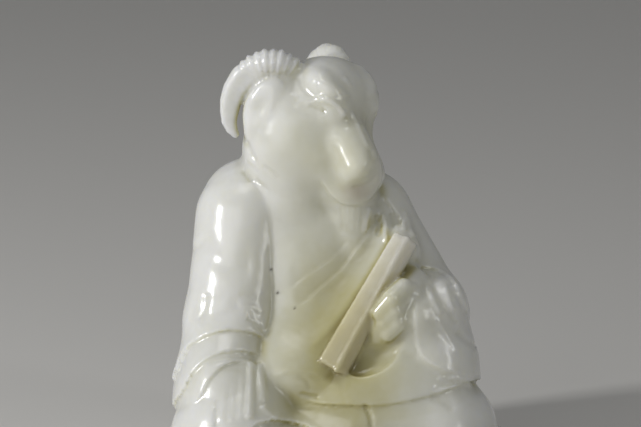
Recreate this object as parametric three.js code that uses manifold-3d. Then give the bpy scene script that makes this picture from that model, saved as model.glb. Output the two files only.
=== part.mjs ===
// A seated zodiac figure with a ram's head, carved from one piece of white jade.
// Millimetres, +Z up. The figure faces -Y and stands on the plane z = 0.
// Pose, proportions and carving are given in a figure 58.8 units tall, so they keep to its height.
import * as THREE from 'three';
import { edgeTable, triTable } from 'three/addons/objects/MarchingCubes.js';
import { mergeVertices } from 'three/addons/utils/BufferGeometryUtils.js';
import Module from 'manifold-3d';

const wasm = await Module();
wasm.setup();

// Driving dimensions, in millimetres; the turn from one ridge of the horn to the next is in degrees.
const height = 58.8;
const unit = height / 58.8;
const tabletLength = 18.8 * unit;
const tabletFootWidth = 3.9 * unit;
const tabletHeadWidth = 3.0 * unit;
const tabletThickness = 2.2 * unit;
const tabletBevel = 1.0 * unit;
const tabletBead = 0.24 * unit;
const sleeveStep = 0.4 * unit;
const apronStep = 0.35 * unit;
const hornRidgeTurn = 9.3;
const hornRidgeHeight = 0.15 * unit;
const fingerRadius = 0.58 * unit;
const triangleBudget = 9300;
const cell = 0.5 * unit;

// Folds are laid out in a front drawing, as they look from slightly above: across and up.
const drawingTilt = THREE.MathUtils.degToRad(10);
const cosTilt = Math.cos(drawingTilt);
const sinTilt = Math.sin(drawingTilt);

// A point of the drawing at a depth behind the figure's middle, as x, y, z.
const seen = (across, up, depth) => [across, depth, (up - depth * sinTilt) / cosTilt];

const clamp = (value, low, high) => Math.min(high, Math.max(low, value));
const ramp = (value, low, high) => {
  const t = clamp((value - low) / (high - low), 0, 1);
  return t * t * (3 - 2 * t);
};
const normal = v => {
  const length = Math.hypot(...v);
  return v.map(n => n / length);
};
const cross = (a, b) => [
  a[1] * b[2] - a[2] * b[1],
  a[2] * b[0] - a[0] * b[2],
  a[0] * b[1] - a[1] * b[0],
];

// Forms. Each is a function of x, y, z that gives the distance to its surface, negative inside.
const WORLD = [[1, 0, 0], [0, 1, 0], [0, 0, 1]];

function ellipsoid(centre, radii, axes = WORLD) {
  const [cx, cy, cz] = centre;
  const [ra, rb, rc] = radii;
  const [A, B, C] = axes;
  return (x, y, z) => {
    const dx = x - cx, dy = y - cy, dz = z - cz;
    const a = (dx * A[0] + dy * A[1] + dz * A[2]) / ra;
    const b = (dx * B[0] + dy * B[1] + dz * B[2]) / rb;
    const c = (dx * C[0] + dy * C[1] + dz * C[2]) / rc;
    const k0 = Math.sqrt(a * a + b * b + c * c);
    const k1 = Math.sqrt((a / ra) ** 2 + (b / rb) ** 2 + (c / rc) ** 2);
    return k1 > 1e-9 ? k0 * (k0 - 1) / k1 : -Math.min(ra, rb, rc);
  };
}

// A ball-ended bar that tapers from point to point; points are [x, y, z, radius].
function limb(points) {
  return (x, y, z) => {
    let best = Infinity;
    for (let i = 0; i + 1 < points.length; i++) {
      const [ax, ay, az, ar] = points[i];
      const [bx, by, bz, br] = points[i + 1];
      const ux = bx - ax, uy = by - ay, uz = bz - az;
      const px = x - ax, py = y - ay, pz = z - az;
      const t = clamp((px * ux + py * uy + pz * uz) / (ux * ux + uy * uy + uz * uz), 0, 1);
      const dx = px - t * ux, dy = py - t * uy, dz = pz - t * uz;
      best = Math.min(best, Math.sqrt(dx * dx + dy * dy + dz * dz) - ar - t * (br - ar));
    }
    return best;
  };
}

// Joins forms with a fillet of about the given radius.
function blend(fillet, ...distances) {
  return distances.reduce((a, b) => {
    const h = Math.max(fillet - Math.abs(a - b), 0) / fillet;
    return Math.min(a, b) - h * h * fillet / 4;
  });
}

// Keeps only what is inside all the forms, with softened edges.
const meet = (edge, ...distances) => -blend(edge, ...distances.map(d => -d));
// Cuts away what is inside the cutter.
const cut = (edge, body, cutter) => meet(edge, body, -cutter);

// A smooth curve through points of the drawing. At a point it gives how far off the curve is,
// positive above it or to its left when drawn rightwards, and how far along it the nearest place lies.
function drawn(...corners) {
  const stations = corners.map(([s, v]) => new THREE.Vector3(s, v, 0));
  const curve = new THREE.CatmullRomCurve3(stations, false, 'centripetal');
  const dots = curve.getPoints((corners.length - 1) * 3);
  const last = dots.length - 1;
  const low = [Math.min(...dots.map(p => p.x)) - 3, Math.min(...dots.map(p => p.y)) - 3];
  const high = [Math.max(...dots.map(p => p.x)) + 3, Math.max(...dots.map(p => p.y)) + 3];
  return (s, v) => {
    if (s < low[0] || s > high[0] || v < low[1] || v > high[1]) return null;
    let best = Infinity, off = 0, share = 0;
    for (let i = 0; i < last; i++) {
      const ux = dots[i + 1].x - dots[i].x, uy = dots[i + 1].y - dots[i].y;
      const px = s - dots[i].x, py = v - dots[i].y;
      const t = clamp((px * ux + py * uy) / (ux * ux + uy * uy), 0, 1);
      const dx = px - t * ux, dy = py - t * uy;
      const d2 = dx * dx + dy * dy;
      if (d2 < best) {
        best = d2;
        off = Math.sign(ux * py - uy * px) * Math.sqrt(d2);
        share = (i + t) / last;
      }
    }
    return [off, share];
  };
}

// How far off a line a place of the drawing is, or just far where the line is nowhere near.
const FAR = 30;
const offLine = (line, s, v) => {
  const near = line(s, v);
  return near ? near[0] : FAR;
};

// Carved lines. Each takes a place in the drawing and gives the depth to carve there.
const tapered = share => ramp(share, 0, 0.12) * ramp(1 - share, 0, 0.12);

function groove(depth, width, ...corners) {
  const line = drawn(...corners);
  return (s, v) => {
    const near = line(s, v);
    return near ? depth * tapered(near[1]) * Math.exp(-((near[0] / width) ** 2)) : 0;
  };
}
const ridge = (rise, width, ...corners) => groove(-rise, width, ...corners);

// The edge of a layer that lies over what is below the line.
function overlap(depth, width, ...corners) {
  const line = drawn(...corners);
  return (s, v) => {
    const near = line(s, v);
    if (!near) return 0;
    const off = near[0] + 0.12;
    return depth * tapered(near[1]) * (off < 0
      ? Math.exp(off / width) * ramp(-off, 0, 0.25) * (1 - ramp(-off, 1.6, 2.8))
      : -0.35 * Math.exp(-((off / 0.5) ** 2)));
  };
}
const carving = lines => (s, v) => lines.reduce((sum, line) => sum + line(s, v), 0);

// The head, in its own directions: along the muzzle, out to its right side and up from the brow.
// Both sides are alike, so a place on the left is reflected to the right one.
const headTurn = THREE.MathUtils.degToRad(50);
const headBow = THREE.MathUtils.degToRad(55);
const FORE = [
  Math.sin(headTurn) * Math.cos(headBow),
  -Math.cos(headTurn) * Math.cos(headBow),
  -Math.sin(headBow),
];
const SIDE = [-Math.cos(headTurn), -Math.sin(headTurn), 0];
const BROW = cross(SIDE, FORE);
const skull = [-1.75, 2.5, 51.2];

const cranium = ellipsoid([0, 0, 0], [6.1, 7.4, 6.4]);
const muzzle = limb([[2.5, 0, 0.2, 5.1], [6.3, 0, -0.1, 4.3], [9.3, 0, -0.15, 4.0]]);
const jaw = limb([[0.5, 0, -2.5, 5.4], [5.5, 0, -2.9, 4.4], [8.6, 0, -1.9, 3.3]]);
const eyeball = ellipsoid([1.6, 4.6, 2.4], [2.6, 0.5, 1.1], [
  normal([0.78, -0.35, 0.5]), normal([0.2, 0.93, 0.33]), normal([-0.58, -0.15, 0.8]),
]);
const browBone = limb([[-1.4, 3.7, 4.4, 0.9], [0.8, 3.6, 4.8, 1.0], [2.8, 2.9, 4.4, 0.9]]);
// The right cheek and the jowl below it run down smoothly into the throat.
const cheek = ellipsoid([-3.9, 0.9, 48.2], [6.2, 5.0, 5.8]);
const jowl = limb([[-1.6, -0.8, 45.2, 3.7], [0.4, -1.1, 42.3, 3.2]]);
// The right flank of the muzzle ends at the crisp line down the nose.
const nearFace = limb([[0.6, -1.9, 49.2, 2.2], [1.5, -2.8, 47.4, 2.7], [3.0, -4.2, 44.4, 2.9]]);
const throat = ellipsoid([-4.5, 1.2, 46.6], [7.0, 5.5, 8.0]);

// The horn leaves the crown, arches back over the ear and comes down beside it.
const hornPath = [
  [-4.4, 55.0, 0.2, 0.9], [-5.75, 55.7, -0.3, 1.35], [-7.25, 56.05, -0.6, 1.65], [-8.75, 56.0, -0.6, 1.75],
  [-10.25, 55.3, -0.4, 1.75], [-11.65, 54.2, -0.2, 1.65], [-12.65, 52.8, 0, 1.5], [-13.15, 51.4, 0.2, 1.38],
  [-13.35, 50.1, 0.3, 1.2], [-13.4, 48.9, 0.3, 0.98], [-13.1, 47.9, 0.2, 0.75], [-12.65, 47.2, 0.1, 0.5],
].map(([across, up, depth, radius]) => [...seen(across, up, depth), radius]);
// The middle of the curl, across and up.
const hornEye = [-8.2, 51.8];
// The left horn grows on the far side of the crown and stands a little lower.
const farHornRoot = [1.25, 6.4];
const farHornPath = hornPath.map(([x, y, z, radius]) => {
  const back = hornPath[0][0] - x;
  return [farHornRoot[0] - 0.53 * back, farHornRoot[1] + 0.85 * back, z - 0.7, radius];
});

// Ridges fan out from the middle of the curl and fade out along it.
function horn(path, ridgeHeight, eye, squeeze) {
  const plain = limb(path);
  return (x, y, z) => {
    const turn = THREE.MathUtils.radToDeg(Math.atan2(z - eye[1], (eye[0] - x) / squeeze));
    const ridges = ridgeHeight / unit * Math.cos(2 * Math.PI * turn / hornRidgeTurn);
    return plain(x, y, z) - ridges * ramp(turn, 42, 60) * (1 - ramp(turn, 118, 132));
  };
}
const nearHorn = horn(hornPath, hornRidgeHeight, hornEye, 1);
const farHornEye = [farHornRoot[0] - 0.53 * (hornPath[0][0] - hornEye[0]), hornEye[1] - 0.7];
const farHorn = horn(farHornPath, 0.25 * hornRidgeHeight, farHornEye, 0.53);
// The outer face is flattened, which leaves a rim round the horn.
const hornFlute = limb(hornPath.slice(5, 10).map(([x, y, z, r]) => [x + 0.2, y - 2.7 * r, z - 0.2, r * 2.0]));

const earFace = normal([-0.28, -0.95, 0.1]);
const earDown = normal([-0.43, 0.12, -0.9]);
const earAcross = normal(cross(earFace, earDown));
const EAR = [earDown, earAcross, cross(earDown, earAcross)];
const earMiddle = seen(-9.05, 50.9, -1.3);
const earLeaf = ellipsoid(earMiddle, [3.9, 2.35, 1.25], EAR);
const earTip = limb([[...earMiddle, 1.3], [...seen(-10.75, 47.5, -0.5), 0.5]]);
const earHollowMiddle = earMiddle.map((n, i) => n + 1.98 * earFace[i] + 0.3 * earDown[i]);
const earHollow = ellipsoid(earHollowMiddle, [2.9, 1.35, 0.95], EAR);
const earRoot = limb([
  [...seen(-6.0, 54.9, 0.3), 1.3], [...seen(-6.9, 53.6, -0.2), 1.8],
  [...seen(-6.6, 51.6, -0.6), 2.0], [...seen(-7.1, 49.2, -0.4), 1.8],
]);
// The tip of the left ear and the end of the left brow show past the far side of the face.
const farEar = ellipsoid(seen(4.2, 51.2, 5.0), [1.05, 1.6, 1.2]);
const farBrow = ellipsoid(seen(3.8, 52.2, 1.5), [1.0, 1.2, 1.0]);

// The crisp line down the nose, from the near brow to the chin.
const noseLine = drawn(
  [0.5, 53.0], [1.5, 51.5], [2.3, 50.0], [3.0, 48.6], [3.7, 47.2], [4.2, 46.0], [4.6, 44.6],
  [4.7, 43.2], [4.2, 41.9], [2.9, 40.9], [0.5, 40.2]
);

const headLines = carving([
  // The upper lid, the slit and the lower lid of the eye.
  ridge(0.16, 0.3,
    [-5.3, 50.4], [-4.6, 50.95], [-3.8, 51.15], [-2.7, 51.3], [-1.7, 51.45], [-0.8, 51.25],
    [0.1, 50.75], [0.75, 50.1], [1.1, 49.5]
  ),
  groove(0.3, 0.17, [-3.4, 50.8], [-2.6, 50.55], [-1.9, 50.3], [-1.2, 49.8]),
  ridge(0.3, 0.35, [-2.2, 51.6], [-1.4, 51.35], [-0.5, 50.95], [0.3, 50.4], [0.9, 49.7], [1.2, 49.0]),
  groove(0.04, 0.25, [-4.6, 50.6], [-3.4, 50.7], [-1.8, 50.8], [-0.4, 50.5], [0.5, 49.7]),
  ridge(0.05, 0.2, [-4.8, 49.9], [-4.2, 49.4], [-3.1, 49.1], [-1.9, 49.2], [-0.8, 49.6]),
  ridge(0.08, 0.3, [-5.6, 52.2], [-5.2, 51.6], [-4.6, 50.9]),
  // The brow, the crown's wrinkles and the line down the muzzle to the nostril.
  ridge(0.2, 0.6, [-2.6, 53.8], [-1.4, 53.4], [-0.4, 53.0], [0.6, 52.3], [1.6, 51.5]),
  ridge(0.1, 0.25, [1.0, 54.3], [1.5, 53.8], [1.9, 53.1]),
  ridge(0.08, 0.22, [1.9, 54.2], [2.2, 53.6], [2.5, 53.0]),
  ridge(0.2, 0.24, [1.9, 50.0], [2.5, 48.8], [3.2, 47.3], [3.7, 46.2], [4.1, 45.4]),
  groove(0.15, 0.22, [4.1, 45.3], [4.3, 44.6], [4.4, 43.8]),
  ridge(0.12, 0.25, [4.6, 45.3], [4.9, 44.7], [5.1, 44.0]),
  groove(0.15, 0.25, [5.2, 42.0], [4.2, 41.1], [3.1, 40.6], [1.9, 40.5]),
]);

function head(x, y, z) {
  const dx = x - skull[0], dy = y - skull[1], dz = z - skull[2];
  const fore = dx * FORE[0] + dy * FORE[1] + dz * FORE[2];
  const side = dx * SIDE[0] + dy * SIDE[1] + dz * SIDE[2];
  const brow = dx * BROW[0] + dy * BROW[1] + dz * BROW[2];
  const out = Math.abs(side);
  const nx = side < 0 ? x - 2 * side * SIDE[0] : x;
  const ny = side < 0 ? y - 2 * side * SIDE[1] : y;
  const nose = meet(1.1, muzzle(fore, out, brow), out - 3.35 + 0.5 * ramp(fore, 3, 9), brow - 3.15);
  let d = blend(2.2, meet(1.5, cranium(fore, out, brow), out - 4.8), nose);
  d = blend(1.6, d, jaw(fore, out, brow));
  const noseSide = 0.9 * offLine(noseLine, x, z * cosTilt + y * sinTilt) - 0.44 * (y + 5.6);
  d = blend(2.0, d, cheek(x, y, z), jowl(x, y, z));
  d = blend(1.3, d, meet(0.8, nearFace(x, y, z), noseSide));
  d = blend(1.6, d, browBone(fore, out, brow));
  d = blend(0.9, d, eyeball(fore, out, brow));
  const lineDepth = ramp(out, 0.3, 1.2) * (side < 0 ? 0.35 : 1);
  if (Math.abs(d) < 1.5) d += lineDepth * headLines(nx, z * cosTilt + ny * sinTilt);
  const nearPart = cut(0.4, nearHorn(x, y, z), hornFlute(x, y, z));
  const earPart = cut(0.7, blend(1.2, earLeaf(nx, ny, z), earTip(nx, ny, z)), earHollow(nx, ny, z));
  d = blend(1.2, d, earRoot(nx, ny, z));
  return blend(0.5, d, nearPart, farHorn(x, y, z), earPart, farEar(x, y, z), farBrow(x, y, z));
}

// The neck, the nape and the beard.
const neck = limb([[-5, 3.5, 40, 7], [-3.2, 2.8, 48.5, 5.9]]);
const nape = limb([[-7.0, 4.8, 41, 5.0], [-6.8, 4.2, 45.2, 5.0]]);
const beard = limb([
  [...seen(1.9, 40.0, -1.3), 2.9], [...seen(2.1, 37.2, -1.2), 2.5],
  [...seen(2.2, 34.8, -1.6), 1.9], [...seen(2.3, 33.4, -2.1), 1.3],
]);

// The body and the arms in their sleeves.
const chest = ellipsoid([-3.5, 5.0, 27], [12.5, 9.9, 17.5]);
const belly = ellipsoid([-3.0, 1.6, 18.5], [13, 10.4, 10]);
const waist = ellipsoid([-5.5, -3.6, 18.4], [7.5, 6.6, 4.4]);
const shoulders = limb([[-10.8, 4, 37.9, 6.3], [3.5, 4.5, 36.6, 6.0]]);
const rightUpperArm = limb([[-11.35, 2.7, 36.8, 6.4], [-12.85, -1.2, 24, 6.1]]);
const rightForearm = limb([[-13.2, -1.5, 24, 5.6], [-13.6, -7, 17.5, 5.3]]);
const rightDrape = ellipsoid([-14.2, -3.6, 14.4], [6.8, 10.6, 9.8]);
const leftUpperArm = limb([[3.8, 4.5, 36.2, 6.0], [10.8, 1.8, 24.5, 5.9]]);
const leftForearm = limb([[11.0, 0.3, 24.8, 5.3], [9.6, -5.5, 25.6, 3.7]]);
const leftElbow = ellipsoid(seen(13.0, 25.6, -2.6), [3.4, 4.6, 4.2]);
const leftDrape = ellipsoid([11.5, -2.6, 17.8], [6.7, 7.1, 9.4]);
// The cloth that the tablet rests against.
const breast = limb([[...seen(1.5, 21.0, -5.2), 3.0], [...seen(7.4, 32.5, -1.4), 3.2]]);

// The crossed legs under the robe, the lap between them, the seat and the shoe that shows below the hem.
const rightKnee = ellipsoid([-12.5, -7.2, 10.0], [8.0, 8.8, 8.5]);
const leftKnee = ellipsoid([12.6, -3.5, 9.7], [8.0, 8.9, 8.6]);
const thighs = ellipsoid([0, -5, 8.6], [14, 9.5, 7.6]);
const lapSlope = [[1, 0, 0], normal([0, -0.35, -0.94]), normal([0, -0.94, 0.35])];
const lapRise = ellipsoid([5.5, -6.5, 17.0], [11, 10, 4], lapSlope);
const seat = ellipsoid([-1, 4.5, 8], [16.5, 11, 14]);
const skirt = ellipsoid([0, 0.3, 1.5], [20.0, 15.8, 9]);
const shoe = ellipsoid([-5.5, -12.2, 6.2], [6.0, 3.4, 4.0]);

// The tablet, held upright across the chest, a little wider at its foot and bevelled along its outer edge,
// with a raised line where the bevel begins.
const tabletFoot = seen(-0.45, 17.85, -9.4);
const tabletAim = normal(seen(8.8, 34.2, -5.2).map((n, i) => n - tabletFoot[i]));
const tabletSide = normal(cross(tabletAim, [-0.35, -0.93, 0]));
const tabletFront = cross(tabletAim, tabletSide);
const tabletMiddle = tabletFoot.map((n, i) => n + tabletLength / unit / 2 * tabletAim[i]);

function tablet(x, y, z) {
  const dx = x - tabletMiddle[0], dy = y - tabletMiddle[1], dz = z - tabletMiddle[2];
  const a = dx * tabletAim[0] + dy * tabletAim[1] + dz * tabletAim[2];
  const b = dx * tabletSide[0] + dy * tabletSide[1] + dz * tabletSide[2];
  const c = dx * tabletFront[0] + dy * tabletFront[1] + dz * tabletFront[2];
  const half = tabletLength / unit / 2;
  const share = clamp(a / half / 2 + 0.5, 0, 1);
  const width = THREE.MathUtils.lerp(tabletFootWidth, tabletHeadWidth, share) / unit;
  const thick = tabletThickness / unit / 2;
  const inward = b - width / 2 + tabletBevel / unit;
  const bevel = 0.6 * inward - 0.8 * (c + thick);
  const bead = c < 0 ? tabletBead / unit * Math.exp(-(((inward + 0.2) / 0.35) ** 2)) : 0;
  return meet(0.3, Math.abs(a) - half, Math.abs(b) - width / 2, Math.abs(c) - thick, bevel) - bead;
}

// The left hand grips the tablet from its outer side, with three fingers closed round it.
const fist = ellipsoid(seen(6.1, 23.6, -7.0), [3.6, 2.5, 2.2], [
  normal([0.5, 0, 0.86]), normal([0.86, 0, -0.5]), [0, 1, 0],
]);
const wrist = limb([[...seen(8.6, 27.4, -6.0), 2.0], [...seen(9.3, 28.2, -4.0), 2.4]]);
const grip = [0, 1, 2].map(n => limb([
  [...seen(8.3 + 0.4 * n, 28.0 - 1.55 * n, -7.2), 1.25],
  [...seen(6.9 + 0.35 * n, 26.6 - 1.5 * n, -8.6), 1.25],
  [...seen(5.4 + 0.5 * n, 24.9 - 1.3 * n, -8.5), 1.1],
]));

// The right hand lies on the knee, with its fingers pointing down over it.
const handSlope = [[1, 0, 0], normal([0, -0.6, -0.8]), normal([0, -0.8, 0.6])];
const rightPalm = ellipsoid([-12.2, -9.7, 14.9], [5.8, 7.6, 3.6], handSlope);
const fingerThickness = fingerRadius / unit;
const rightFingers = [0, 1, 2, 3].map(n => limb([
  [-13.7 + 1.0 * n, -9.4, 20.4, fingerThickness],
  [-13.8 + 1.02 * n, -12.1, 17.2, fingerThickness],
  [-14.0 + 1.05 * n, -14.2, 14.3 + 0.2 * n, fingerThickness],
]));
const rightThumb = limb([
  [-9.7, -9.0, 19.8, fingerThickness * 1.3], [-9.4, -11.0, 17.8, fingerThickness * 1.3],
  [-9.2, -12.0, 16.4, fingerThickness * 1.1],
]);

// Where the layers of the right sleeve end, from the outer one to the cuff.
const outerSleeve = drawn(
  [-24, 8], [-20.6, 16.2], [-19.9, 17.8], [-18.8, 20.2], [-17.9, 21.0], [-16.6, 21.8], [-14.2, 22.6],
  [-12.8, 22.7], [-11.2, 22.5], [-10.1, 22.2], [-9.2, 21.7], [-8.3, 20.6], [-7.4, 18.0], [-6.6, 14]
);
const innerSleeve = drawn(
  [-24, 7], [-20.3, 13.3], [-19.6, 14.3], [-19.1, 15.0], [-18.2, 16.8], [-17.2, 18.2], [-16.1, 19.1],
  [-14.9, 19.7], [-13.5, 20.0], [-12.0, 20.1], [-10.8, 20.0], [-9.8, 19.6], [-8.7, 18.6], [-7.8, 16.4],
  [-7, 12]
);
const cuff = drawn(
  [-19.6, 4], [-18.7, 9.5], [-18.2, 12.4], [-17.6, 13.8], [-16.6, 15.0], [-15.6, 16.7], [-14.4, 18.0],
  [-12.9, 18.8], [-11.4, 18.8], [-10.1, 18.4], [-9.1, 17.7], [-8.3, 16.0], [-7.8, 12]
);
const sleeveHem = drawn(
  [4, 22.5], [7.5, 20.9], [9.9, 20.2], [11.1, 19.0], [13.0, 17.9], [14.9, 17.2], [17.4, 16.6],
  [21, 16.0]
);
const apronHem = drawn(
  [-12, 18], [-8.1, 16.5], [-7.2, 16.0], [-6.4, 15.4], [-5.4, 14.9], [-4.4, 14.3], [-3.4, 13.9],
  [-2.0, 13.5], [0.5, 13.4], [5.5, 13.4], [9.2, 14.0], [13.0, 15.0], [18, 17]
);

// The hollow under the left hand, between the tablet, the sleeve and the belly.
const handHollow = ellipsoid(seen(5.2, 20.0, -10.1), [4.6, 2.3, 1.9], [
  normal([0.85, 0, 0.53]), normal([-0.53, 0, 0.85]), [0, 1, 0],
]);

// What lies below a line of the drawing, for the front of the figure only.
const below = (line, s, v, y) => Math.max(offLine(line, s, v), y - 2.5);

const frontLines = carving([
  // The neck and the collar.
  groove(0.2, 0.25, [-11.2, 46.4], [-10.6, 45.1], [-9.8, 43.8]),
  groove(0.13, 0.22, [-10.9, 45.0], [-10.2, 44.2], [-9.6, 43.2]),
  groove(0.13, 0.22, [-11.4, 43.8], [-10.5, 43.2], [-9.6, 42.6]),
  groove(0.16, 0.22, [-11.8, 42.7], [-11.1, 42.0], [-10.5, 41.2]),
  groove(0.12, 0.22, [-9.2, 43.2], [-8.1, 42.5], [-7.0, 41.5]),
  groove(0.12, 0.22, [-10.2, 41.5], [-9.2, 40.8], [-8.2, 40.0]),
  overlap(0.15, 0.7,
    [7.1, 38.3], [4.5, 35.0], [2.9, 33.0], [1.0, 30.4], [-0.2, 29.2], [-2.0, 27.7], [-3.5, 26.3],
    [-4.9, 25.5]
  ),
  overlap(0.1, 0.6, [2.0, 34.2], [0.9, 32.7], [-0.4, 31.5], [-2.0, 30.4], [-3.5, 29.4], [-5.6, 27.5]),
  // The chin over the beard, the strands of the beard and the bunched cloth beside it.
  overlap(0.2, 0.8, [-2.0, 42.0], [-0.5, 39.6], [1.1, 38.5], [3.0, 38.5], [4.5, 39.5], [5.5, 41.4]),
  groove(0.1, 0.15, [0.6, 38.4], [0.7, 36.9], [1.1, 34.9]),
  groove(0.1, 0.15, [1.2, 38.5], [1.2, 37.0], [1.5, 34.6]),
  groove(0.1, 0.15, [1.8, 38.5], [1.8, 36.8], [1.9, 34.4]),
  groove(0.1, 0.15, [2.5, 38.5], [2.5, 36.8], [2.4, 34.4]),
  groove(0.1, 0.15, [3.2, 38.3], [3.1, 36.9], [2.9, 34.8]),
  ridge(0.25, 0.3, [4.4, 38.2], [4.0, 36.9], [3.8, 35.9], [3.6, 34.7]),
  ridge(0.22, 0.3, [5.9, 37.4], [6.2, 35.9], [6.1, 34.9], [6.4, 33.6]),
  groove(0.2, 0.3, [5.0, 37.2], [5.4, 35.7], [5.2, 34.2]),
  groove(0.2, 0.3, [6.9, 37.4], [7.2, 35.9], [6.9, 34.4]),
  ridge(0.25, 0.3, [8.9, 37.6], [8.6, 36.2], [8.5, 35.0]),
  ridge(0.25, 0.35, [9.0, 37.0], [9.4, 35.4], [9.9, 34.2]),
  overlap(0.3, 0.8, [6.1, 39.5], [7.0, 38.3], [8.0, 37.0], [8.5, 35.7]),
  // Creases inside the right elbow.
  groove(0.08, 0.35, [-12.2, 27.0], [-11.0, 27.0], [-10.0, 26.6]),
  groove(0.08, 0.35, [-11.3, 26.0], [-10.2, 25.5], [-9.4, 24.7]),
  groove(0.09, 0.35, [-11.3, 25.0], [-10.2, 24.5], [-9.0, 23.6]),
  groove(0.2, 0.35, [-11.2, 24.3], [-10.0, 23.6], [-8.9, 22.2]),
  groove(0.15, 0.5, [-16.2, 27.5], [-16.4, 25.2], [-17.2, 23.4]),
  // Slack in the right sleeve, across the upper arm and above the elbow.
  groove(0.3, 1.5, [-17.6, 34.0], [-15.6, 32.0], [-13.2, 30.9], [-10.2, 30.6]),
  groove(0.2, 1.2, [-18.6, 24.6], [-16.4, 24.4], [-14.0, 24.9], [-11.6, 25.8]),
  groove(0.15, 0.25,
    [-16.1, 18.2], [-15.0, 18.9], [-13.5, 19.2], [-12.0, 19.3], [-10.6, 19.0], [-9.4, 18.4]
  ),
  // The cloth over the left elbow, and the folds that fall from it.
  overlap(0.28, 0.9,
    [8.6, 29.3], [9.4, 30.2], [10.4, 30.6], [11.6, 30.6], [12.8, 30.3], [13.9, 29.7], [14.8, 28.8],
    [15.6, 27.6]
  ),
  overlap(0.18, 0.6,
    [9.8, 28.6], [9.9, 26.6], [9.95, 24.0], [10.05, 21.6], [10.7, 19.8], [12.0, 18.6], [13.8, 17.8],
    [15.4, 17.4]
  ),
  ridge(0.2, 0.3, [10.6, 28.9], [10.4, 28.1], [10.2, 27.1]),
  ridge(0.2, 0.35, [11.3, 28.5], [11.8, 27.3], [12.3, 26.0], [13.1, 24.5]),
  groove(0.15, 0.35, [12.1, 28.9], [12.6, 27.4], [13.4, 25.9], [14.2, 24.7], [15.2, 23.3]),
  ridge(0.25, 0.35, [13.6, 28.4], [13.9, 27.2], [14.2, 26.2], [14.8, 24.9]),
  groove(0.15, 0.35, [13.9, 28.8], [14.6, 27.5], [15.5, 26.2], [16.2, 24.7], [17.4, 22.6]),
  ridge(0.1, 0.3, [12.6, 24.4], [13.3, 22.9], [14.2, 21.5], [15.4, 19.9]),
  ridge(0.2, 0.35, [14.8, 28.7], [15.5, 27.5], [16.1, 26.2], [16.6, 24.7]),
  groove(0.2, 0.4, [14.9, 22.6], [16.1, 21.4], [17.8, 20.4]),
  groove(0.12, 0.3, [13.0, 17.0], [14.9, 17.0], [15.9, 16.8], [18.4, 16.5]),
  ridge(0.12, 0.22, [12.4, 16.6], [13.8, 16.9], [15.2, 16.8], [17.0, 16.5]),
  groove(0.12, 0.25, [12.0, 15.6], [13.6, 15.9], [15.5, 16.1], [17.6, 15.8]),
  ridge(0.14, 0.22, [12.6, 15.3], [14.0, 15.6], [15.6, 15.9], [17.0, 15.8]),
  // The sash, its knot and the cloth over the crossed legs.
  overlap(0.12, 0.6, [-7.4, 17.2], [-5.8, 17.7], [-4.9, 17.8], [-3.9, 17.7], [-2.9, 17.4], [-1.4, 17.0]),
  groove(0.15, 0.25, [-5.0, 17.0], [-4.1, 16.8], [-3.5, 16.2], [-3.2, 15.3]),
  groove(0.15, 0.25, [-4.5, 14.9], [-3.5, 14.6], [-2.0, 14.4]),
  ridge(0.25, 0.4, [-9.2, 13.6], [-8.4, 12.7], [-6.9, 11.9]),
  groove(0.25, 0.3, [3.2, 13.6], [4.1, 12.3], [4.4, 10.5], [4.2, 8.0], [3.4, 5.0]),
  groove(0.15, 0.5, [11.5, 14.4], [13.0, 13.9], [14.8, 12.7]),
  overlap(0.5, 1.2,
    [-12.2, 6.5], [-11.6, 8.8], [-10.9, 10.2], [-10.0, 11.3], [-9.0, 11.6], [-7.9, 11.8], [-5.8, 11.5],
    [-3.4, 10.9], [-0.6, 9.4], [2.2, 6.6]
  ),
]);

// The back is plainer: the edges of the arms, a sash and long folds below it. Across and up from behind.
const backLines = carving([
  groove(0.35, 0.7, [-10.2, 35], [-9.6, 30], [-9.4, 25], [-10.2, 20]),
  groove(0.35, 0.7, [6.4, 34], [7.0, 29], [7.6, 24], [9.2, 19]),
  overlap(0.35, 1.0, [-10.4, 17.4], [-6, 18.3], [-1, 18.6], [4, 18.3], [9.6, 17.2]),
  groove(0.2, 0.3, [-10.6, 15.9], [-6, 16.8], [-1, 17.1], [4, 16.8], [9.8, 15.7]),
  ...[-9, -5.2, -1, 3.2, 7].map(x => groove(0.3, 0.6, [x, 15.2], [x * 1.1, 9], [x * 1.35, 2.4])),
  overlap(0.3, 0.8, [-9.4, 41.6], [-6.4, 40.2], [-3, 39.6], [0.4, 40.2], [3.4, 41.6]),
]);

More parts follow.
